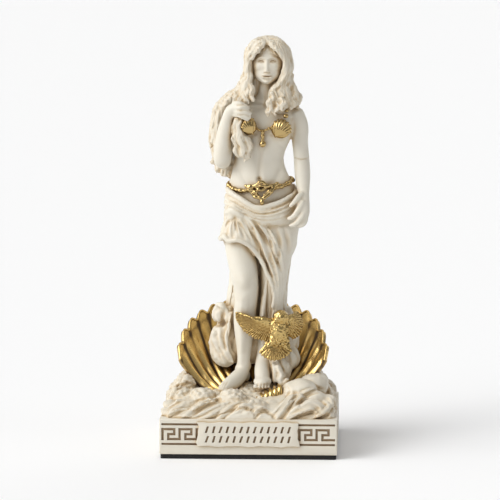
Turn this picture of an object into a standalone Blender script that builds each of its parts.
"""A small resin Aphrodite: a standing figure in a gilt scallop shell, on a square plinth with a key band.

The cast group is one solid and the soft pad glued under it is another. Metres, +Z up, the origin at the
middle of the underside. The front of the figure looks along -Y.
"""

import math

import bmesh
import bpy
import numpy as np
from mathutils import Matrix, Vector, noise
from mathutils.bvhtree import BVHTree

MM = 0.001

# Plinth and pad
PLINTH_WIDTH = 0.0375
PLINTH_HEIGHT = 0.0076
PAD_THICKNESS = 0.00085
PAD_INSET = 0.0002
PAD_CORNER = 0.0006
PAD_GAP = 0.0001
PLINTH_FOOT = PAD_THICKNESS + PAD_GAP
PLINTH_TOP = PLINTH_FOOT + PLINTH_HEIGHT

# Key band: a groove between two incised lines
GROOVE_WIDTH = 0.0004
GROOVE_DEPTH = 0.0003
KEY_HEIGHT = 0.0021
KEY_MIDDLE = 0.00433
KEY_REPEATS = 10
KEY_MARGIN = 0.0007
LINE_WIDTH = 0.00035
LINE_SPREAD = 0.0042

# Nameplate, with rows of plain strokes where the real one has its name
PLATE_WIDTH = 0.0212
PLATE_HEIGHT = 0.0051
PLATE_STAND = 0.0006
PLATE_ROOT = 0.0006
PLATE_WAVER = 0.00025
STROKE_ROWS = 2
STROKE_COUNT = 11
STROKE_LENGTH = 0.0015
STROKE_WIDTH = 0.00032
STROKE_DEPTH = 0.0003
STROKE_LEAN = 0.35

# The group above the plinth is drawn in millimetres at this height, and grows with GROUP_HEIGHT
GROUP_HEIGHT = 0.08025
DRAWN_HEIGHT = 80.25
DRAWN_FLOOR = 9.75
DRAWN_AXIS = 0.74
GROUP_UNIT = GROUP_HEIGHT / DRAWN_HEIGHT

# Sculpting: voxel edge, and how many triangles the sculpted group keeps
BODY_VOXEL = 0.00027
GROUP_VOXEL = 0.00024
GROUP_VOXEL_STEP = 0.03
GROUP_TRIES = 4
GROUP_TRIANGLES = 7300
SEA_INSET = 0.00012
SEA_ROOT = 0.0006

IVORY = (0.80, 0.75, 0.65, 1.0)
GILT = (0.62, 0.43, 0.14, 1.0)
BLACK = (0.02, 0.02, 0.02, 1.0)

FRONT = (0.0, -1.0, 0.0)
BACK = (0.0, 1.0, 0.0)

# Lofts: rows of height, middle x, middle y, half width, half depth
TORSO = [
    (46.0, 2.6, 0.8, 7.6, 4.2), (50.0, 2.8, 0.8, 7.9, 4.4), (53.0, 2.9, 0.7, 7.8, 4.2),
    (56.0, 2.8, 0.5, 7.4, 3.8), (58.5, 2.6, 0.4, 6.7, 3.4), (61.0, 2.35, 0.3, 5.8, 3.0),
    (63.3, 2.3, 0.2, 5.3, 2.8), (65.5, 2.7, 0.1, 5.4, 3.0), (68.0, 3.3, 0.0, 5.9, 3.3),
    (70.5, 3.6, 0.1, 6.4, 3.2), (72.5, 3.8, 0.4, 6.9, 2.8), (74.2, 3.8, 0.7, 6.5, 2.3),
    (75.4, 3.7, 0.8, 4.4, 1.9), (76.4, 3.6, 0.7, 2.1, 1.7), (78.0, 3.7, 0.4, 1.5, 1.5),
    (81.0, 3.9, 0.4, 1.45, 1.5),
]
HIP_CLOTH = [
    (42.6, 3.0, 0.9, 6.6, 4.6), (44.5, 2.6, 0.6, 7.8, 5.0), (46.5, 2.5, 0.5, 8.1, 5.3),
    (49.0, 2.8, 0.6, 8.1, 5.3), (51.5, 3.1, 0.7, 8.0, 5.0), (53.6, 3.1, 0.7, 7.7, 4.6),
]
LEG_CLOTH = [
    (12.5, 5.2, 2.6, 4.6, 3.4), (16.0, 5.6, 2.4, 4.6, 3.6), (20.0, 5.6, 2.0, 4.3, 3.9),
    (24.0, 5.4, 1.5, 3.9, 3.8), (27.0, 5.2, 1.1, 3.5, 3.7), (30.0, 5.1, 0.8, 3.1, 3.5),
    (33.0, 5.0, 0.5, 2.8, 3.3), (35.5, 5.1, 0.2, 2.8, 3.4), (38.0, 5.3, 0.0, 3.0, 3.6),
    (41.0, 5.0, -0.2, 3.7, 4.0), (44.0, 5.0, -0.1, 4.9, 4.4), (47.0, 4.8, 0.2, 6.0, 4.8),
    (50.0, 4.6, 0.4, 6.4, 4.6),
]
TRAIN = [
    (12.5, 0.2, 6.0, 7.0, 3.2), (18.0, -0.4, 5.0, 7.2, 3.4), (24.0, -0.6, 4.2, 6.6, 3.2),
    (30.0, 0.0, 3.8, 6.0, 2.8), (35.5, 1.2, 3.5, 4.8, 2.6), (41.0, 1.9, 3.2, 5.6, 2.8),
    (47.0, 2.6, 2.8, 7.2, 3.4),
]
BACK_HAIR = [
    (60.2, -3.4, 4.4, 3.0, 1.3), (62.5, -3.0, 4.3, 4.6, 1.9), (66.0, -2.0, 4.2, 5.8, 2.2),
    (70.0, -0.8, 4.0, 6.6, 2.3), (74.0, 1.0, 3.7, 6.8, 2.4), (78.0, 3.2, 3.2, 5.8, 2.6),
    (81.0, 4.0, 2.7, 4.9, 2.9), (84.5, 4.2, 2.0, 4.6, 3.3),
]

# Balls: x, y, z, radius x, radius y, radius z
BUST = [(-0.1, -2.5, 70.3, 2.1, 1.9, 2.0), (7.0, -2.5, 69.9, 2.25, 2.0, 2.1)]
HEAD = [
    (4.0, 0.6, 85.0, 3.1, 3.9, 3.7), (4.05, -0.9, 83.6, 2.75, 2.7, 3.4),
    (4.1, -1.4, 81.0, 1.9, 1.9, 1.8), (4.05, -3.45, 82.4, 0.42, 0.62, 0.7),
]
HAIR_CAP = [
    (4.15, 1.0, 85.7, 4.5, 4.4, 4.3), (1.2, -0.9, 86.4, 1.5, 2.3, 2.3), (7.3, -0.9, 86.4, 1.6, 2.3, 2.4),
]
CALVES = [(-0.7, -1.2, 31.0, 2.3, 2.3, 4.2), (-0.9, -1.2, 16.0, 1.4, 1.6, 1.7)]
LEFT_FOOT = [(2.7, -5.2, 15.9, 1.9, 3.2, 1.35), (2.8, -2.4, 17.2, 1.6, 2.2, 1.8)]

# Limbs, locks and folds: rows of x, y, z, radius
RIGHT_LEG = [
    (0.2, 0.4, 51.0, 4.0), (-1.4, -0.7, 48.0, 3.6), (-1.9, -1.4, 45.0, 3.15), (-1.2, -2.2, 41.0, 3.1),
    (-0.7, -2.7, 38.0, 2.9), (-0.35, -2.5, 35.5, 2.65), (-0.4, -2.0, 33.0, 2.5), (-0.7, -1.7, 30.3, 2.45),
    (-0.8, -1.7, 27.2, 2.3), (-0.85, -1.9, 24.0, 1.85), (-0.9, -2.1, 20.5, 1.42), (-1.2, -2.5, 17.6, 1.5),
    (-2.4, -4.6, 16.0, 1.55), (-3.9, -6.9, 14.9, 1.35), (-5.0, -8.6, 14.3, 1.0),
]
LEFT_LEG = [
    (6.2, 0.5, 50.0, 4.1), (6.0, -0.1, 44.0, 3.7), (5.4, -0.6, 38.0, 2.9), (5.0, 0.0, 33.0, 2.6),
    (4.5, 0.2, 28.0, 2.3), (3.8, -0.2, 23.0, 1.7), (3.3, -0.9, 19.5, 1.45), (3.0, -2.0, 17.6, 1.5),
]
LEFT_ARM = [
    (9.9, 0.7, 73.1, 2.0), (11.0, 0.6, 70.5, 1.9), (11.1, 0.5, 67.0, 1.75), (11.4, 0.3, 63.8, 1.7),
    (11.65, -0.4, 60.5, 1.72), (11.8, -1.2, 58.0, 1.5), (12.0, -2.2, 55.8, 1.25), (12.0, -3.2, 53.8, 1.35),
    (11.9, -3.9, 52.0, 1.45), (11.8, -4.0, 50.6, 1.1),
]
RIGHT_ARM = [
    (-1.6, 1.3, 73.3, 2.0), (-3.2, 0.8, 71.6, 2.0), (-4.4, 0.2, 67.8, 1.9), (-5.3, -0.6, 64.2, 1.85),
    (-5.5, -1.7, 63.2, 1.9), (-5.4, -2.6, 65.2, 1.95), (-4.9, -3.6, 69.3, 1.65), (-4.2, -4.4, 72.4, 1.35),
    (-3.4, -4.9, 74.0, 1.35), (-2.2, -5.1, 74.4, 1.4),
]
FINGERS = [
    [(10.9, -3.6, 55.4, 0.55), (9.9, -4.6, 54.5, 0.5), (9.2, -5.1, 53.6, 0.42)],
    [(11.4, -4.6, 53.4, 0.55), (10.3, -5.5, 52.0, 0.52), (8.7, -5.7, 50.9, 0.42)],
    [(12.0, -4.6, 52.2, 0.55), (11.0, -5.5, 50.7, 0.52), (9.0, -5.7, 49.6, 0.42)],
    [(12.4, -4.3, 51.0, 0.55), (11.5, -5.1, 49.6, 0.5), (10.2, -5.4, 48.9, 0.42)],
    [(-2.9, -5.6, 75.6, 0.55), (-1.2, -6.3, 75.9, 0.55), (0.2, -5.9, 75.2, 0.5)],
    [(-2.9, -5.8, 74.6, 0.55), (-1.0, -6.6, 74.7, 0.55), (0.6, -6.1, 74.0, 0.5)],
    [(-2.9, -5.8, 73.6, 0.55), (-0.9, -6.6, 73.6, 0.55), (0.7, -6.1, 72.9, 0.5)],
    [(-2.9, -5.6, 72.7, 0.55), (-1.1, -6.4, 72.6, 0.52), (0.4, -6.0, 72.0, 0.45)],
]
CLOTH_ROLLS = [
    [(-4.4, 0.5, 56.8, 0.7), (-4.2, -2.2, 56.3, 0.8), (-2.6, -4.0, 55.3, 0.9), (-0.4, -4.7, 54.0, 0.8),
     (2.4, -4.9, 52.9, 0.8), (5.0, -4.7, 53.3, 0.8), (8.4, -3.4, 54.9, 0.8), (10.2, -0.6, 56.0, 0.8)],
    [(-3.9, -3.0, 54.2, 0.8), (-1.2, -4.7, 52.9, 1.0), (2.2, -5.2, 51.4, 0.9), (5.4, -5.0, 51.2, 0.9),
     (8.6, -3.8, 52.4, 0.8), (10.4, -1.0, 54.0, 0.8)],
    [(-4.4, -3.4, 52.2, 0.9), (-3.3, -4.6, 52.6, 1.0), (-1.8, -5.2, 52.2, 1.0), (-0.4, -5.4, 50.2, 0.9),
     (1.4, -5.2, 47.6, 0.85), (2.9, -4.5, 45.0, 0.8), (3.8, -4.1, 42.0, 0.7), (4.6, -3.6, 38.6, 0.6),
     (4.9, -3.3, 36.0, 0.45)],
    [(-0.6, -5.2, 52.2, 0.8), (1.8, -5.2, 49.4, 0.85), (3.9, -4.7, 46.0, 0.85), (5.6, -4.2, 42.4, 0.8),
     (6.7, -3.6, 39.0, 0.7), (7.1, -2.8, 35.6, 0.6), (7.0, -2.4, 31.0, 0.6)],
    [(-3.4, -5.0, 51.8, 0.8), (-4.3, -4.9, 49.6, 0.8), (-5.0, -4.0, 47.4, 0.8)],
    [(-2.6, -5.2, 51.4, 0.7), (-2.4, -5.6, 49.0, 0.7), (-1.6, -5.6, 46.8, 0.7)],
    [(-6.0, -0.4, 46.4, 0.5), (-5.3, -3.4, 46.6, 0.6), (-3.9, -4.8, 47.2, 0.6), (-2.6, -5.2, 46.3, 0.6),
     (-0.6, -5.2, 45.7, 0.6), (0.9, -4.6, 44.9, 0.6), (1.9, -3.6, 42.6, 0.5)],
    [(-4.2, 1.6, 56.5, 0.8), (-2.0, 3.8, 56.8, 0.8), (2.8, 5.0, 57.2, 0.9), (7.6, 4.2, 56.6, 0.9),
     (10.2, 1.4, 56.0, 0.8)],
    [(-4.2, 2.4, 54.0, 0.8), (-1.0, 5.0, 53.2, 0.9), (3.6, 5.6, 52.6, 0.9), (8.0, 4.2, 53.6, 0.9)],
    [(-4.9, 1.4, 50.6, 0.7), (-2.0, 5.0, 49.4, 0.9), (3.0, 6.0, 46.0, 0.9), (6.6, 5.2, 40.0, 0.8),
     (8.4, 4.0, 32.0, 0.8), (9.0, 3.6, 24.0, 0.8)],
    [(-5.2, 1.8, 47.6, 0.7), (-3.4, 4.4, 45.0, 0.9), (-0.4, 5.8, 40.0, 0.9), (1.6, 6.4, 32.0, 0.9),
     (2.0, 7.2, 24.0, 0.9), (2.2, 8.4, 16.0, 0.9)],
    [(-4.6, 2.8, 43.0, 0.7), (-3.4, 4.4, 38.0, 0.8), (-4.0, 5.4, 31.0, 0.9), (-4.8, 6.4, 24.0, 0.9),
     (-5.0, 7.6, 17.0, 0.9)],
    [(7.2, 3.4, 44.0, 0.7), (6.4, 5.0, 36.0, 0.8), (6.4, 6.0, 28.0, 0.9), (6.8, 7.2, 19.0, 0.9)],
    [(5.1, -2.9, 35.6, 0.6), (5.0, -2.8, 31.0, 0.7), (6.2, -2.9, 26.0, 0.7), (7.2, -3.0, 22.0, 0.6)],
    [(3.3, -2.6, 33.6, 0.5), (3.4, -2.7, 29.4, 0.6), (4.4, -3.0, 25.6, 0.6), (5.0, -3.2, 21.4, 0.5)],
]
CLOTH_LUMPS = [
    (-5.6, 2.2, 28.9, 2.5, 2.3, 2.5), (-5.4, 1.4, 24.6, 2.5, 2.4, 3.4), (-5.6, 0.4, 21.6, 2.9, 2.5, 2.9),
    (-3.4, 0.6, 24.0, 1.2, 2.2, 7.0), (8.6, 1.6, 29.8, 1.5, 2.0, 1.8), (9.0, -0.6, 20.2, 2.1, 2.0, 2.6),
    (9.4, 0.4, 24.2, 1.8, 1.6, 2.0), (7.0, -2.6, 18.0, 2.4, 1.9, 2.2), (7.1, -4.6, 15.9, 1.1, 1.2, 1.1),
    (5.4, -3.2, 16.6, 0.8, 2.4, 2.4),
]
HAIR_LOCKS = [
    [(3.3, -2.0, 88.8, 0.6), (1.0, -2.6, 87.5, 0.9), (0.3, -2.7, 85.2, 0.9), (0.7, -2.5, 83.0, 0.8),
     (0.2, -2.4, 81.2, 0.8), (1.0, -2.8, 79.2, 0.8), (0.6, -3.8, 77.0, 0.8), (0.2, -4.6, 75.4, 0.8)],
    [(2.6, -0.6, 89.0, 0.7), (0.1, -1.2, 87.2, 1.0), (-0.5, -1.2, 83.6, 1.0), (-0.9, -1.0, 81.0, 1.0),
     (-0.5, -1.8, 78.6, 1.0), (-1.0, -3.2, 76.4, 0.9), (-1.6, -4.4, 75.2, 0.8)],
    [(-0.8, 0.2, 82.4, 0.9), (-1.3, -0.2, 79.6, 1.0), (-2.2, -0.6, 77.9, 1.0), (-2.7, -1.6, 76.2, 0.9),
     (-3.0, -2.8, 74.6, 0.7)],
    [(0.0, 1.2, 79.0, 1.0), (-2.4, 1.4, 76.8, 1.0), (-4.6, 1.4, 74.8, 1.1), (-6.4, 1.4, 72.4, 1.1),
     (-7.3, 1.2, 69.6, 0.9), (-8.3, 1.0, 66.2, 0.4)],
    [(0.0, 2.6, 78.2, 1.1), (-3.2, 2.6, 76.0, 1.2), (-5.8, 2.6, 74.0, 1.1), (-7.1, 2.5, 71.4, 1.0),
     (-7.6, 2.4, 68.6, 0.7)],
    [(3.8, -2.0, 88.8, 0.7), (6.1, -2.5, 88.0, 0.9), (7.4, -2.5, 85.8, 0.9), (7.8, -2.3, 83.8, 0.8),
     (7.5, -2.3, 81.6, 0.8), (6.7, -2.5, 79.9, 0.8), (5.9, -2.9, 78.3, 0.7), (5.2, -3.2, 76.6, 0.7),
     (5.9, -3.8, 75.2, 0.7), (4.7, -4.0, 73.6, 0.6), (4.2, -4.0, 72.2, 0.4)],
    [(4.6, -0.8, 89.1, 0.7), (7.6, -1.4, 87.6, 1.0), (8.8, -1.3, 85.4, 1.0), (8.7, -1.2, 83.2, 1.0),
     (9.2, -1.2, 81.6, 0.9), (8.3, -1.4, 80.0, 0.9), (8.8, -1.9, 78.4, 0.9), (7.9, -2.8, 76.8, 0.9),
     (6.8, -3.4, 75.6, 0.8), (7.2, -3.9, 74.1, 0.7), (6.3, -4.1, 72.9, 0.5)],
    [(9.0, -0.2, 80.2, 0.9), (9.4, -0.6, 78.2, 0.9), (10.1, -1.0, 76.8, 0.8), (9.0, -2.0, 75.6, 0.8),
     (9.6, -2.2, 74.2, 0.6), (8.6, -2.8, 73.2, 0.5)],
    [(-0.6, -5.0, 72.4, 0.9), (-2.4, -4.9, 70.4, 1.0), (-2.8, -4.6, 68.2, 1.0), (-2.2, -4.5, 66.0, 0.9),
     (-1.7, -4.2, 63.8, 0.5)],
    [(-0.8, -5.2, 71.6, 0.9), (-1.4, -5.4, 69.4, 0.9), (-1.0, -5.1, 67.0, 0.9), (-1.2, -4.7, 64.8, 0.8),
     (-0.7, -4.3, 63.2, 0.4)],
    [(-0.6, -5.0, 70.4, 0.7), (-0.3, -5.0, 68.4, 0.8), (0.4, -4.6, 66.6, 0.7), (-0.2, -4.3, 64.8, 0.6),
     (0.2, -4.0, 63.5, 0.3)],
    [(-5.8, 2.6, 66.0, 1.0), (-7.0, 2.4, 63.8, 1.0), (-7.6, 2.0, 62.4, 0.6)],
    [(-4.6, 2.6, 64.0, 1.1), (-6.2, 2.2, 61.6, 1.0), (-6.4, 1.6, 60.4, 0.5)],
    [(-3.4, 2.8, 63.0, 1.1), (-4.6, 2.2, 60.6, 1.0), (-3.8, 1.8, 59.6, 0.7)],
]
HAIR_FALL_COUNT = 9
HAIR_FALL_RADIUS = 0.75
HAIR_FALL_WAVER = 0.5

# Shell: a fan that spreads back and up from its hinge in front of the feet
SHELL_HINGE = (1.0, -9.8, 12.4)
SHELL_REACH = 20.8
SHELL_SIDE_LOSS = 3.6
SHELL_RISE = 18.4
SHELL_SIDE_RISE = 8.3
SHELL_HALF_ANGLE = 67.0
SHELL_RIBS = 15
SHELL_RIB_HEIGHT = 0.5
SHELL_THICKNESS = 0.95
SHELL_START = 0.1
SHELL_GRID = (150, 30)

# Dove: outlines of the wings and tail, and the balls of the body
DOVE_BODY = [
    (6.9, -5.2, 26.9, 1.8, 1.6, 2.9), (7.3, -5.7, 29.8, 1.45, 1.4, 1.5), (6.1, -6.2, 28.9, 0.4, 0.8, 0.45),
    (6.2, -5.0, 24.4, 1.2, 1.0, 1.4), (6.4, -3.6, 26.0, 1.3, 1.8, 1.8),
]
DOVE_LEFT_WING = [
    (-2.5, -5.0, 30.5), (-2.4, -4.9, 28.6), (-1.7, -4.8, 27.1), (-0.4, -4.7, 25.9), (1.8, -4.8, 24.7),
    (5.4, -5.1, 24.3), (6.4, -5.2, 27.8), (4.9, -5.2, 28.3), (1.6, -5.1, 29.1), (-0.6, -5.0, 29.7),
]
DOVE_RIGHT_WING = [
    (7.6, -5.0, 28.8), (9.6, -3.4, 30.1), (10.8, -2.2, 30.6), (11.7, -1.4, 28.6), (11.9, -1.4, 26.4),
    (10.8, -2.6, 24.8), (7.8, -4.6, 24.9),
]
DOVE_TAIL_ROOT = (5.9, -4.9, 24.3)
DOVE_TAIL_REACH = 4.2
DOVE_TAIL_ANGLES = (-140.0, -28.0)
DOVE_TAIL_FEATHERS = 7
DOVE_SHEET = 0.9

# Sea: a heaped block of foam and breakers between the plinth and the shell
SEA_BLOCK = [
    (9.0, 0.74, 0.0, 18.9, 18.9), (10.6, 0.74, 0.0, 18.2, 18.6), (11.8, 0.8, 0.4, 17.0, 17.4),
    (13.0, 0.9, 1.6, 15.6, 15.4), (14.2, 1.0, 3.0, 13.6, 12.8),
]
SEA_SQUARENESS = 0.3
SEA_GRAIN = 0.45
SEA_GRAIN_SIZE = 2.4
FOAM = [
    (-13.4, -3.4, 14.8, 2.5, 3.0, 2.3), (-14.2, -7.6, 12.6, 2.5, 3.0, 2.3), (-9.4, -11.6, 13.2, 2.9, 2.4, 2.2),
    (-3.0, -12.6, 12.9, 3.2, 2.4, 2.4), (11.4, -8.6, 13.9, 4.0, 3.6, 3.0), (14.3, -3.0, 14.6, 3.2, 4.2, 2.9),
    (14.6, -10.6, 12.2, 3.2, 3.0, 2.4), (5.4, -13.6, 12.0, 1.9, 1.6, 1.3), (-13.4, 3.6, 14.0, 2.8, 4.0, 2.4),
    (14.2, 6.0, 13.8, 3.2, 4.2, 2.6), (-12.6, 11.6, 13.4, 3.8, 4.2, 2.6), (13.0, 12.6, 13.2, 4.2, 4.0, 2.6),
    (-5.6, 13.6, 13.4, 4.8, 3.8, 2.6), (4.6, 13.8, 13.6, 5.0, 3.8, 2.6), (-16.0, -11.4, 11.0, 1.7, 2.4, 1.4),
]
BREAKERS = [
    [(-15.8, -17.2, 9.9, 0.8), (-11.6, -16.4, 10.7, 1.1), (-7.6, -14.6, 11.8, 1.2), (-6.0, -13.2, 12.5, 0.8)],
    [(-12.0, -17.8, 9.8, 0.8), (-7.4, -16.8, 10.6, 1.1), (-3.6, -15.2, 11.4, 1.2), (-1.4, -14.4, 11.9, 0.9)],
    [(-17.2, -14.6, 10.0, 0.9), (-14.2, -13.6, 11.7, 1.2), (-12.0, -13.0, 12.2, 1.1), (-11.4, -14.2, 11.2, 0.8)],
    [(-4.4, -17.8, 9.8, 0.9), (-0.6, -16.9, 10.9, 1.4), (2.6, -16.0, 11.6, 1.6), (5.0, -15.8, 10.7, 1.1)],
    [(0.6, -17.8, 9.8, 0.8), (2.6, -17.3, 10.3, 1.1), (4.6, -17.1, 10.2, 0.9)],
    [(4.0, -17.8, 9.8, 0.9), (7.6, -16.0, 10.9, 1.3), (10.4, -13.4, 12.6, 1.4), (12.2, -12.4, 12.8, 1.1)],
    [(8.6, -17.8, 9.8, 0.9), (11.8, -16.8, 11.1, 1.3), (14.2, -15.6, 12.0, 1.3), (16.2, -15.8, 11.3, 1.0),
     (16.2, -17.0, 10.6, 0.8), (14.9, -17.4, 10.8, 0.6)],
    [(17.6, -16.8, 9.8, 0.9), (17.6, -13.6, 11.6, 1.2), (17.4, -10.0, 12.4, 1.2), (17.4, -6.0, 11.8, 1.0)],
    [(18.2, -6.0, 9.9, 0.9), (17.6, -2.0, 11.6, 1.2), (16.6, 3.0, 12.8, 1.3), (16.8, 5.6, 12.0, 0.9)],
    [(18.2, 3.0, 9.9, 0.9), (17.6, 8.0, 11.6, 1.2), (16.6, 12.4, 12.6, 1.2), (16.8, 14.6, 11.8, 0.9)],
    [(-17.0, 16.0, 9.9, 0.9), (-16.6, 11.0, 11.6, 1.2), (-15.8, 6.0, 12.6, 1.2), (-15.8, 4.0, 11.9, 0.9)],
    [(-17.0, 8.0, 9.9, 0.9), (-16.6, 2.0, 11.4, 1.2), (-15.9, -4.0, 12.3, 1.2), (-15.8, -6.6, 11.7, 0.9)],
    [(16.0, 17.6, 9.9, 0.9), (11.0, 17.2, 11.5, 1.2), (6.0, 16.6, 12.5, 1.2), (3.6, 16.8, 11.8, 0.9)],
    [(6.0, 17.6, 9.9, 0.9), (0.0, 17.2, 11.5, 1.2), (-5.4, 16.6, 12.5, 1.2), (-7.8, 16.8, 11.8, 0.9)],
    [(-4.0, 17.6, 9.9, 0.9), (-9.6, 17.2, 11.5, 1.2), (-13.6, 16.4, 12.3, 1.2), (-15.2, 15.2, 11.7, 0.9)],
]
SEA_BED = (1.0, 1.0, 12.0, 15.0, 12.0, 3.0)

# Gilt trimmings cast with the figure: the shell cups, the pendant and the belt
CUPS = [(-0.15, -3.9, 70.3, 1.75, 1.1, 1.75, 0.35), (7.0, -3.9, 69.8, 2.05, 1.1, 1.95, -0.3)]
CUP_RIBS = 9
CUP_RIB_HEIGHT = 0.16
PENDANT = [(3.2, -3.6, 68.6, 0.45, 0.4, 0.45), (3.2, -3.6, 67.4, 0.7, 0.55, 0.95)]
NECKLACE = [[(1.4, -3.7, 70.0, 0.35), (3.2, -3.4, 69.4, 0.35), (5.2, -3.7, 69.9, 0.35)]]
BELT = [
    [(-4.2, 0.4, 57.8, 0.55), (-3.9, -0.9, 57.5, 0.6), (-2.1, -2.7, 56.9, 0.65), (0.2, -3.4, 56.9, 0.65),
     (2.9, -3.7, 57.5, 0.75), (5.6, -3.3, 57.4, 0.65), (7.9, -2.0, 57.9, 0.6), (9.1, -0.7, 58.5, 0.55),
     (9.2, 0.8, 58.9, 0.55)],
    [(-4.2, 0.4, 57.8, 0.55), (-3.2, 2.2, 58.1, 0.55), (0.0, 3.6, 58.4, 0.55), (4.8, 3.6, 58.7, 0.55),
     (8.0, 2.2, 58.9, 0.55), (9.2, 0.8, 58.9, 0.55)],
    [(0.4, -3.7, 56.9, 0.5), (1.6, -4.2, 55.4, 0.5), (3.0, -4.4, 54.9, 0.5), (4.4, -4.2, 55.3, 0.5),
     (5.4, -3.6, 56.8, 0.5)],
]
BELT_DROP = [(3.0, -4.9, 54.0, 0.5, 0.5, 0.85), (2.9, -4.4, 57.6, 1.1, 0.5, 0.8)]

# Strokes worked into the cloth on one side: points of x and z, half width, height
CLOTH_STROKES = [
    (FRONT, [(-1.4, 54.6), (0.4, 53.1), (3.6, 52.2), (7.0, 52.9), (9.2, 54.2)], 0.35, -0.35),
    (FRONT, [(-0.6, 51.8), (0.8, 50.4), (2.6, 48.4), (4.4, 46.2), (6.0, 44.0), (7.2, 41.4)], 0.5, -0.8),
    (FRONT, [(1.9, 50.4), (3.8, 49.7), (5.6, 49.5), (7.8, 49.8), (9.0, 50.4)], 0.4, -0.55),
    (FRONT, [(-0.6, 50.2), (1.0, 47.8), (2.6, 45.4), (3.6, 42.8), (4.4, 40.2), (5.2, 37.0)], 0.4, -0.55),
    (FRONT, [(-3.0, 51.4), (-3.6, 49.8), (-4.0, 48.2)], 0.35, -0.5),
    (FRONT, [(-2.0, 51.2), (-1.8, 49.2), (-1.0, 47.2)], 0.35, -0.45),
    (FRONT, [(2.2, 35.0), (2.0, 31.0), (2.4, 26.0)], 0.6, -0.9),
    (FRONT, [(4.2, 34.0), (4.4, 29.0), (5.4, 24.0)], 0.4, -0.5),
    (FRONT, [(6.2, 36.0), (6.0, 31.0), (7.0, 25.0)], 0.4, -0.4),
    (BACK, [(-4.0, 44.0), (-2.0, 38.0), (-1.6, 30.0), (-1.8, 20.0)], 0.6, -0.8),
    (BACK, [(1.0, 42.0), (3.4, 36.0), (4.2, 28.0), (4.4, 20.0)], 0.6, -0.8),
]


def placed(x, y, z):
    """A point of the group, drawn in millimetres, in its real place above the plinth."""
    return Vector((x - DRAWN_AXIS, y, z - DRAWN_FLOOR)) * GROUP_UNIT + Vector((0.0, 0.0, PLINTH_TOP))


def smooth_rows(rows, between):
    """Rows on a Catmull-Rom curve through the given rows, with some more rows between each two."""
    rows = np.array(rows, float)
    padded = np.vstack([2 * rows[0] - rows[1], rows, 2 * rows[-1] - rows[-2]])
    found = []
    for a, b, c, d in zip(padded, padded[1:], padded[2:], padded[3:]):
        for t in np.arange(between) / between:
            found.append(
                b + 0.5 * t * (c - a + t * (2 * a - 5 * b + 4 * c - d + t * (3 * (b - c) + d - a)))
            )
    found.append(rows[-1])
    return np.array(found)


def merge(clay, form):
    """Adds a form to the clay. The form is used up."""
    mesh = bpy.data.meshes.new("form")
    form.to_mesh(mesh)
    form.free()
    clay.from_mesh(mesh)
    bpy.data.meshes.remove(mesh)


def add_ball(clay, ball, lean=0.0):
    """An ellipsoid, turned in the plane of the figure's front by lean radians."""
    x, y, z, *radii = ball
    matrix = Matrix.Translation(placed(x, y, z)) @ Matrix.Rotation(lean, 4, "Y")
    matrix = matrix @ Matrix.Diagonal([r * GROUP_UNIT for r in radii] + [1.0])
    form = bmesh.new()
    bmesh.ops.create_uvsphere(form, u_segments=24, v_segments=16, radius=1.0, matrix=matrix)
    merge(clay, form)


def add_loft(clay, rows, squareness=0.0, segments=72):
    """A closed form through level rings. Squareness pulls a ring's sides out towards its corners."""
    form = bmesh.new()
    rings = []
    for z, x, y, wide, deep in smooth_rows(rows, 5):
        matrix = Matrix.Translation(placed(x, y, z)) @ Matrix.Diagonal(
            (wide * GROUP_UNIT, deep * GROUP_UNIT, 1.0, 1.0)
        )
        ring = bmesh.ops.create_circle(form, cap_ends=False, segments=segments, radius=1.0)["verts"]
        for vert in ring:
            angle = math.atan2(vert.co.y, vert.co.x)
            corner = 1.0 / max(abs(math.cos(angle)), abs(math.sin(angle)))
            vert.co *= 1.0 + squareness * (corner - 1.0) / (math.sqrt(2.0) - 1.0)
        bmesh.ops.transform(form, matrix=matrix, verts=ring)
        rings.append(list({edge for vert in ring for edge in vert.link_edges}))
    for lower, upper in zip(rings, rings[1:]):
        bmesh.ops.bridge_loops(form, edges=lower + upper)
    for end in (rings[0], rings[-1]):
        bmesh.ops.edgeloop_fill(form, edges=end)
    bmesh.ops.recalc_face_normals(form, faces=form.faces)
    merge(clay, form)


def add_tubes(clay, paths):
    """Round tubes along smooth paths, whose rows give the point and the radius there."""
    curve = bpy.data.curves.new("tubes", "CURVE")
    curve.dimensions = "3D"
    curve.bevel_depth = MM
    curve.bevel_resolution = 3
    curve.use_fill_caps = True
    for path in paths:
        rows = smooth_rows(path, 6)
        spline = curve.splines.new("POLY")
        spline.points.add(len(rows) - 1)
        for point, (x, y, z, radius) in zip(spline.points, rows):
            point.co = (*placed(x, y, z), 1.0)
            point.radius = max(radius, 0.05) * GROUP_UNIT / MM
    holder = bpy.data.objects.new("tubes", curve)
    bpy.context.scene.collection.objects.link(holder)
    clay.from_mesh(evaluated_mesh(holder))
    bpy.data.objects.remove(holder)
    for path in paths:
        for x, y, z, radius in (path[0], path[-1]):
            add_ball(clay, (x, y, z, radius, radius, radius))


def add_sheet(clay, outline, thickness):
    """A flat plate with the given corners, thickened on both sides of their mean plane."""
    form = bmesh.new()
    face = form.faces.new([form.verts.new(placed(*corner)) for corner in outline])
    face.normal_update()
    half = face.normal * thickness * GROUP_UNIT / 2.0
    bmesh.ops.translate(form, vec=-half, verts=list(face.verts))
    grown = bmesh.ops.extrude_face_region(form, geom=[face], use_keep_orig=True)["geom"]
    bmesh.ops.translate(form, vec=2 * half, verts=[g for g in grown if isinstance(g, bmesh.types.BMVert)])
    bmesh.ops.recalc_face_normals(form, faces=form.faces)
    merge(clay, form)


def evaluated_mesh(holder):
    """The object's mesh with its modifiers applied, its ends closed and its place worked in."""
    bpy.context.view_layer.update()
    graph = bpy.context.evaluated_depsgraph_get()
    return bpy.data.meshes.new_from_object(holder.evaluated_get(graph))


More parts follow.
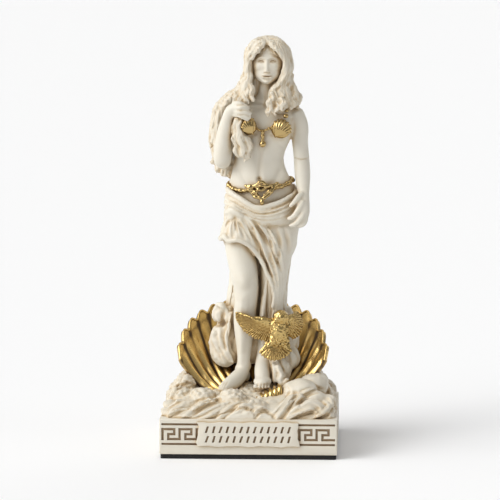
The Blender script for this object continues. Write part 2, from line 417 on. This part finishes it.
def modelled(clay, name):
    """A new object that holds the clay, which is used up."""
    mesh = bpy.data.meshes.new(name)
    clay.to_mesh(mesh)
    clay.free()
    holder = bpy.data.objects.new(name, mesh)
    bpy.context.scene.collection.objects.link(holder)
    return holder


def fused(clay, name, voxel, smoothing):
    """The clay's closed forms run together into one skin of even voxels, and smoothed."""
    holder = modelled(clay, name)
    remesh = holder.modifiers.new("fuse", "REMESH")
    remesh.mode = "VOXEL"
    remesh.voxel_size = voxel
    if smoothing:
        smooth = holder.modifiers.new("smooth", "SMOOTH")
        smooth.factor = 0.5
        smooth.iterations = smoothing
    mesh = evaluated_mesh(holder)
    bpy.data.objects.remove(holder)
    return mesh


def worked(mesh, strokes):
    """Presses each stroke into the side of the mesh that faces it, or raises it there."""
    count = len(mesh.vertices)
    points = np.empty(count * 3)
    normals = np.empty(count * 3)
    mesh.vertices.foreach_get("co", points)
    mesh.vertices.foreach_get("normal", normals)
    points = points.reshape(-1, 3)
    normals = normals.reshape(-1, 3)
    moved = points.copy()
    for side, line, half_width, height in strokes:
        line = smooth_rows(line, 6)
        path = np.array([placed(x, 0.0, z) for x, z in line])[:, [0, 2]]
        reach = half_width * GROUP_UNIT
        facing = np.clip(normals @ np.array(side), 0.0, 1.0)
        nearest = np.full(count, np.inf)
        for start, end in zip(path, path[1:]):
            along = end - start
            share = np.clip((points[:, [0, 2]] - start) @ along / (along @ along), 0.0, 1.0)
            gap = points[:, [0, 2]] - start - share[:, None] * along
            nearest = np.minimum(nearest, np.hypot(gap[:, 0], gap[:, 1]))
        amount = height * GROUP_UNIT * np.exp(-((nearest / reach) ** 2)) * np.sqrt(facing)
        moved += normals * amount[:, None]
    mesh.vertices.foreach_set("co", moved.ravel())
    mesh.update()
    return mesh


def body_mesh():
    """Torso, limbs and head, run together and smoothed."""
    clay = bmesh.new()
    add_loft(clay, TORSO)
    for ball in BUST + HEAD + CALVES + LEFT_FOOT:
        add_ball(clay, ball)
    add_tubes(clay, [RIGHT_LEG, LEFT_LEG, LEFT_ARM, RIGHT_ARM])
    return fused(clay, "body", BODY_VOXEL, 5)


def cloth_mesh():
    """The cloth round the hips, over the left leg and behind both legs, with its folds."""
    clay = bmesh.new()
    for rows in (HIP_CLOTH, LEG_CLOTH, TRAIN):
        add_loft(clay, rows)
    for lump in CLOTH_LUMPS:
        add_ball(clay, lump)
    add_tubes(clay, CLOTH_ROLLS)
    mesh = fused(clay, "cloth", BODY_VOXEL, 3)
    return worked(mesh, CLOTH_STROKES)


def hair_fall():
    """Wavy locks down the back of the head and shoulders, spread evenly over the back hair."""
    rows = smooth_rows(BACK_HAIR, 2)[::-1]
    locks = []
    for index in range(HAIR_FALL_COUNT):
        share = 2.0 * (index + 0.5) / HAIR_FALL_COUNT - 1.0
        angle = share * math.radians(86.0)
        lock = []
        for step, (z, x, y, wide, deep) in enumerate(rows):
            sway = HAIR_FALL_WAVER * math.sin(1.3 * step + 1.9 * index)
            lock.append(
                (x + wide * math.sin(angle) + sway, y + deep * math.cos(angle) - 0.2, z, HAIR_FALL_RADIUS)
            )
        locks.append(lock)
    return locks


def shell_point(turn, share):
    """A point of the shell's inner face, drawn in millimetres: turn in radians from straight back,
    share from 0 at the hinge to 1 at the rim."""
    full = math.radians(SHELL_HALF_ANGLE)
    lean = abs(turn) / full
    reach = SHELL_REACH - SHELL_SIDE_LOSS * lean**2
    rise = SHELL_RISE - (SHELL_RISE - SHELL_SIDE_RISE) * lean**2.6
    rib = math.cos(SHELL_RIBS * math.pi * (turn / full + 1.0))
    reach *= share * (1.0 + 0.018 * share * rib)
    lift = rise * share**2.3 - SHELL_RIB_HEIGHT * rib * min(1.0, 0.25 + share)
    x, y, z = SHELL_HINGE
    return (x + reach * math.sin(turn), y + reach * math.cos(turn) + 0.3 * rib * share, z + lift)


def shell_mesh():
    """The ribbed shell: an open grid bent into the fan, then given its wall."""
    across, along = SHELL_GRID
    clay = bmesh.new()
    bmesh.ops.create_grid(clay, x_segments=across, y_segments=along, size=1.0)
    for vert in clay.verts:
        turn = vert.co.x * math.radians(SHELL_HALF_ANGLE)
        share = SHELL_START + (1.0 - SHELL_START) * (vert.co.y + 1.0) / 2.0
        vert.co = placed(*shell_point(turn, share))
    holder = modelled(clay, "shell")
    wall = holder.modifiers.new("wall", "SOLIDIFY")
    wall.thickness = SHELL_THICKNESS * GROUP_UNIT
    wall.offset = -1.0
    mesh = evaluated_mesh(holder)
    bpy.data.objects.remove(holder)
    return mesh


def add_dove(clay):
    """The bird in front of the left leg, wings spread and tail fanned."""
    for ball in DOVE_BODY:
        add_ball(clay, ball)
    for outline in (DOVE_LEFT_WING, DOVE_RIGHT_WING):
        add_sheet(clay, outline, DOVE_SHEET)
    x, y, z = DOVE_TAIL_ROOT
    low, high = (math.radians(angle) for angle in DOVE_TAIL_ANGLES)
    fan = [(x, y, z + 0.8)]
    steps = DOVE_TAIL_FEATHERS * 4
    for step in range(steps + 1):
        angle = low + (high - low) * step / steps
        reach = DOVE_TAIL_REACH * (0.93 + 0.07 * abs(math.sin(math.pi * step / 4.0)))
        fan.append((x + reach * math.cos(angle), y - 0.4, z + reach * math.sin(angle)))
    add_sheet(clay, fan, DOVE_SHEET)


def add_cups(clay):
    """Two small ribbed shells over the breasts."""
    for x, y, z, wide, deep, tall, lean in CUPS:
        form = bmesh.new()
        add_ball(form, (x, y, z, wide, deep, tall))
        middle = placed(x, y, z)
        for vert in form.verts:
            offset = vert.co - middle
            angle = math.atan2(offset.z + tall * GROUP_UNIT, offset.x) - lean
            vert.co += offset.normalized() * CUP_RIB_HEIGHT * GROUP_UNIT * math.cos(CUP_RIBS * 2.0 * angle)
        merge(clay, form)


def sea_mesh():
    """The heaped sea, its breakers and foam, with an uneven skin, flush with the plinth's sides."""
    clay = bmesh.new()
    add_loft(clay, SEA_BLOCK, SEA_SQUARENESS)
    for ball in FOAM + [SEA_BED]:
        add_ball(clay, ball)
    add_tubes(clay, BREAKERS)
    mesh = fused(clay, "sea", BODY_VOXEL, 2)
    normals = [vert.normal.copy() for vert in mesh.vertices]
    for vert, normal in zip(mesh.vertices, normals):
        spot = vert.co / (SEA_GRAIN_SIZE * GROUP_UNIT)
        place = vert.co + normal * SEA_GRAIN * GROUP_UNIT * noise.fractal(spot, 0.7, 2.0, 3)
        side = PLINTH_WIDTH / 2.0 - SEA_INSET
        vert.co = (
            min(max(place.x, -side), side),
            min(max(place.y, -side), side),
            max(place.z, PLINTH_TOP - SEA_ROOT),
        )
    return mesh


def group_clay():
    """Everything above the plinth as closed forms that run into each other."""
    clay = bmesh.new()
    clay.from_mesh(body_mesh())
    clay.from_mesh(cloth_mesh())
    clay.from_mesh(sea_mesh())
    clay.from_mesh(shell_mesh())
    add_loft(clay, BACK_HAIR)
    for ball in HAIR_CAP + PENDANT + BELT_DROP:
        add_ball(clay, ball)
    add_tubes(clay, HAIR_LOCKS + hair_fall() + FINGERS + NECKLACE + BELT)
    add_dove(clay)
    add_cups(clay)
    return clay


def largest_part(mesh):
    """Drops every loose crumb and closed bubble, so that one skin is left."""
    clay = bmesh.new()
    clay.from_mesh(mesh)
    waiting = set(clay.verts)
    parts = []
    while waiting:
        found = [waiting.pop()]
        for vert in found:
            for edge in vert.link_edges:
                other = edge.other_vert(vert)
                if other in waiting:
                    waiting.remove(other)
                    found.append(other)
        parts.append(found)
    parts.sort(key=len)
    loose = [vert for part in parts[:-1] for vert in part]
    bmesh.ops.delete(clay, geom=loose, context="VERTS")
    clay.to_mesh(mesh)
    clay.free()
    return mesh


def thinned(mesh, triangles):
    """The mesh with about the given count of triangles, the plain stretches thinned most."""
    holder = bpy.data.objects.new("thinned", mesh)
    bpy.context.scene.collection.objects.link(holder)
    thin = holder.modifiers.new("thin", "DECIMATE")
    thin.ratio = triangles / (2.0 * len(mesh.polygons))
    thinner = evaluated_mesh(holder)
    bpy.data.objects.remove(holder)
    return thinner


def crossings(mesh):
    """How many pairs of faces that share no corner pass through each other."""
    clay = bmesh.new()
    clay.from_mesh(mesh)
    clay.faces.ensure_lookup_table()
    corners = [{vert.index for vert in face.verts} for face in clay.faces]
    tree = BVHTree.FromBMesh(clay)
    found = sum(1 for a, b in tree.overlap(tree) if a < b and not corners[a] & corners[b])
    clay.free()
    return found


def sculpted_group():
    """The group as one thinned skin, from the voxel size that leaves the fewest crossed sheets."""
    clay = group_clay()
    best = None
    for attempt in range(GROUP_TRIES):
        voxel = GROUP_VOXEL * (1.0 + GROUP_VOXEL_STEP * attempt)
        skin = thinned(largest_part(fused(clay.copy(), "group", voxel, 1)), GROUP_TRIANGLES)
        crossed = crossings(skin)
        if best is None or crossed < best[0]:
            best = (crossed, skin)
        if not crossed:
            break
    clay.free()
    return best[1]


def add_box(clay, low, high):
    """A box between two corners."""
    low, high = Vector(low), Vector(high)
    matrix = Matrix.Translation((low + high) / 2.0) @ Matrix.Diagonal((*(high - low), 1.0))
    return bmesh.ops.create_cube(clay, size=1.0, matrix=matrix)["verts"]


def key_line(span):
    """Corners of the key groove's middle line along a band of the given span, in x and z."""
    low = PLINTH_FOOT + KEY_MIDDLE - KEY_HEIGHT / 2.0
    high = low + KEY_HEIGHT
    middle = low + KEY_HEIGHT * 0.5
    pitch = span / KEY_REPEATS
    line = [(-span / 2.0, low), (-span / 2.0, high)]
    for index in range(KEY_REPEATS):
        left = -span / 2.0 + index * pitch
        line += [(left + 0.69 * pitch, high), (left + 0.69 * pitch, middle), (left + 0.34 * pitch, middle)]
        line += [(left + 0.34 * pitch, low), (left + pitch, low), (left + pitch, high)]
    return line[:-1]


def add_groove(clay, line, width, depth, spin):
    """A cutter along a square-cornered line on the front of the plinth, spun round to another side."""
    half = width / 2.0
    sides = [[], []]
    for index, (x, z) in enumerate(line):
        before = line[max(index - 1, 0)]
        after = line[min(index + 1, len(line) - 1)]
        into = (np.sign(x - before[0]), np.sign(z - before[1]))
        out = (np.sign(after[0] - x), np.sign(after[1] - z))
        if index == 0:
            into = out
        if index == len(line) - 1:
            out = into
        across = (-(into[1] + out[1]), into[0] + out[0])
        if into == out:
            across = (-into[1], into[0])
        push = ((0.0, 0.0) if 0 < index < len(line) - 1 else (half, half))
        sign = -1.0 if index == 0 else 1.0
        tip = (x + sign * into[0] * push[0], z + sign * into[1] * push[1])
        for side, keep in zip((1.0, -1.0), sides):
            keep.append((tip[0] + side * half * across[0], tip[1] + side * half * across[1]))
    corners = sides[0] + sides[1][::-1]
    front = -PLINTH_WIDTH / 2.0
    face = clay.faces.new([clay.verts.new((x, front + depth, z)) for x, z in corners])
    grown = bmesh.ops.extrude_face_region(clay, geom=[face], use_keep_orig=True)["geom"]
    moved = [g for g in grown if isinstance(g, bmesh.types.BMVert)]
    bmesh.ops.translate(clay, vec=(0.0, -2.0 * depth, 0.0), verts=moved)
    turned = list(face.verts) + moved
    bmesh.ops.rotate(clay, matrix=Matrix.Rotation(spin, 3, "Z"), verts=turned)


def key_cutter():
    """The grooves of all four sides: the key and the lines above and below it."""
    clay = bmesh.new()
    span = PLINTH_WIDTH - 2.0 * KEY_MARGIN
    for quarter in range(4):
        spin = quarter * math.pi / 2.0
        add_groove(clay, key_line(span), GROOVE_WIDTH, GROOVE_DEPTH, spin)
        for side in (-1.0, 1.0):
            level = PLINTH_FOOT + KEY_MIDDLE + side * LINE_SPREAD / 2.0
            reach = span / 2.0
            add_groove(clay, [(-reach, level), (reach, level)], LINE_WIDTH, GROOVE_DEPTH, spin)
    bmesh.ops.recalc_face_normals(clay, faces=clay.faces)
    return modelled(clay, "key_cutter")


def plate_object():
    """The torn-edged nameplate on the front, standing out of the plinth."""
    clay = bmesh.new()
    middle = PLINTH_FOOT + KEY_MIDDLE
    corners = []
    steps = 9
    for side, (start, end) in enumerate(
        (((-1, -1), (1, -1)), ((1, -1), (1, 1)), ((1, 1), (-1, 1)), ((-1, 1), (-1, -1)))
    ):
        count = steps if side % 2 == 0 else 3
        for step in range(count):
            share = step / count
            wave = PLATE_WAVER * math.sin(5.1 * step + 2.3 * side)
            x = (start[0] + share * (end[0] - start[0])) * (PLATE_WIDTH / 2.0 + wave * (side % 2))
            z = (start[1] + share * (end[1] - start[1])) * (PLATE_HEIGHT / 2.0 + 0.5 * wave * (1 - side % 2))
            corners.append((x, middle + z))
    back = -PLINTH_WIDTH / 2.0 + PLATE_ROOT
    face = clay.faces.new([clay.verts.new((x, back, z)) for x, z in corners])
    grown = bmesh.ops.extrude_face_region(clay, geom=[face], use_keep_orig=True)["geom"]
    moved = [g for g in grown if isinstance(g, bmesh.types.BMVert)]
    bmesh.ops.translate(clay, vec=(0.0, -PLATE_ROOT - PLATE_STAND, 0.0), verts=moved)
    bmesh.ops.recalc_face_normals(clay, faces=clay.faces)
    return modelled(clay, "nameplate")


def stroke_cutter():
    """Rows of short leaning strokes, cut into the nameplate's face."""
    clay = bmesh.new()
    face = -PLINTH_WIDTH / 2.0 - PLATE_STAND
    middle = PLINTH_FOOT + KEY_MIDDLE
    row_step = PLATE_HEIGHT / (STROKE_ROWS + 0.4)
    pitch = 0.86 * PLATE_WIDTH / STROKE_COUNT
    for row in range(STROKE_ROWS):
        z = middle + (row - (STROKE_ROWS - 1) / 2.0) * row_step
        for index in range(STROKE_COUNT):
            x = (index - (STROKE_COUNT - 1) / 2.0) * pitch
            lean = STROKE_LEAN * math.cos(2.4 * index + row)
            half = STROKE_WIDTH / 2.0
            verts = add_box(
                clay,
                (-half, -STROKE_DEPTH, -STROKE_LENGTH / 2.0),
                (half, STROKE_DEPTH, STROKE_LENGTH / 2.0),
            )
            matrix = Matrix.Translation((x, face, z)) @ Matrix.Rotation(lean, 4, "Y")
            bmesh.ops.transform(clay, matrix=matrix, verts=verts)
    return modelled(clay, "stroke_cutter")


def joined(base, other, operation):
    """Adds a Boolean modifier that joins or cuts base with other, and hides other as a helper."""
    step = base.modifiers.new(other.name, "BOOLEAN")
    step.operation = operation
    step.solver = "EXACT"
    step.object = other
    other.hide_render = True
    other.display_type = "WIRE"


def material(name, colour, roughness, metallic=0.0):
    """A plain Principled finish."""
    finish = bpy.data.materials.new(name)
    finish.use_nodes = True
    shader = finish.node_tree.nodes["Principled BSDF"]
    shader.inputs["Base Color"].default_value = colour
    shader.inputs["Roughness"].default_value = roughness
    shader.inputs["Metallic"].default_value = metallic
    return finish


def gathered(holder, collection):
    """Moves an object from the scene's own collection to the given one."""
    bpy.context.scene.collection.objects.unlink(holder)
    collection.objects.link(holder)


def casting():
    """The one cast solid: plinth, nameplate, sea, shell, dove and figure."""
    clay = bmesh.new()
    half = PLINTH_WIDTH / 2.0
    add_box(clay, (-half, -half, PLINTH_FOOT), (half, half, PLINTH_TOP))
    plinth = modelled(clay, "figurine")
    joined(plinth, key_cutter(), "DIFFERENCE")
    joined(plinth, plate_object(), "UNION")
    joined(plinth, stroke_cutter(), "DIFFERENCE")
    group = bpy.data.objects.new("group", sculpted_group())
    bpy.context.scene.collection.objects.link(group)
    joined(plinth, group, "UNION")
    plinth.data.materials.append(material("ivory resin", IVORY, 0.45))
    return plinth


def pad():
    """The thin black pad under the plinth, with rounded upright corners."""
    clay = bmesh.new()
    half = PLINTH_WIDTH / 2.0 - PAD_INSET
    add_box(clay, (-half, -half, 0.0), (half, half, PAD_THICKNESS))
    upright = [e for e in clay.edges if abs(e.verts[0].co.z - e.verts[1].co.z) > PAD_THICKNESS / 2.0]
    bmesh.ops.bevel(clay, geom=upright, offset=PAD_CORNER, segments=3, profile=0.5, affect="EDGES")
    holder = modelled(clay, "base_pad")
    holder.data.materials.append(material("black felt", BLACK, 0.9))
    return holder


def main():
    for holder in list(bpy.data.objects):
        bpy.data.objects.remove(holder)
    statue = bpy.data.collections.new("aphrodite statue")
    helpers = bpy.data.collections.new("cutters")
    bpy.context.scene.collection.children.link(statue)
    bpy.context.scene.collection.children.link(helpers)
    shown = [casting(), pad()]
    for holder in list(bpy.context.scene.collection.objects):
        gathered(holder, statue if holder in shown else helpers)


main()
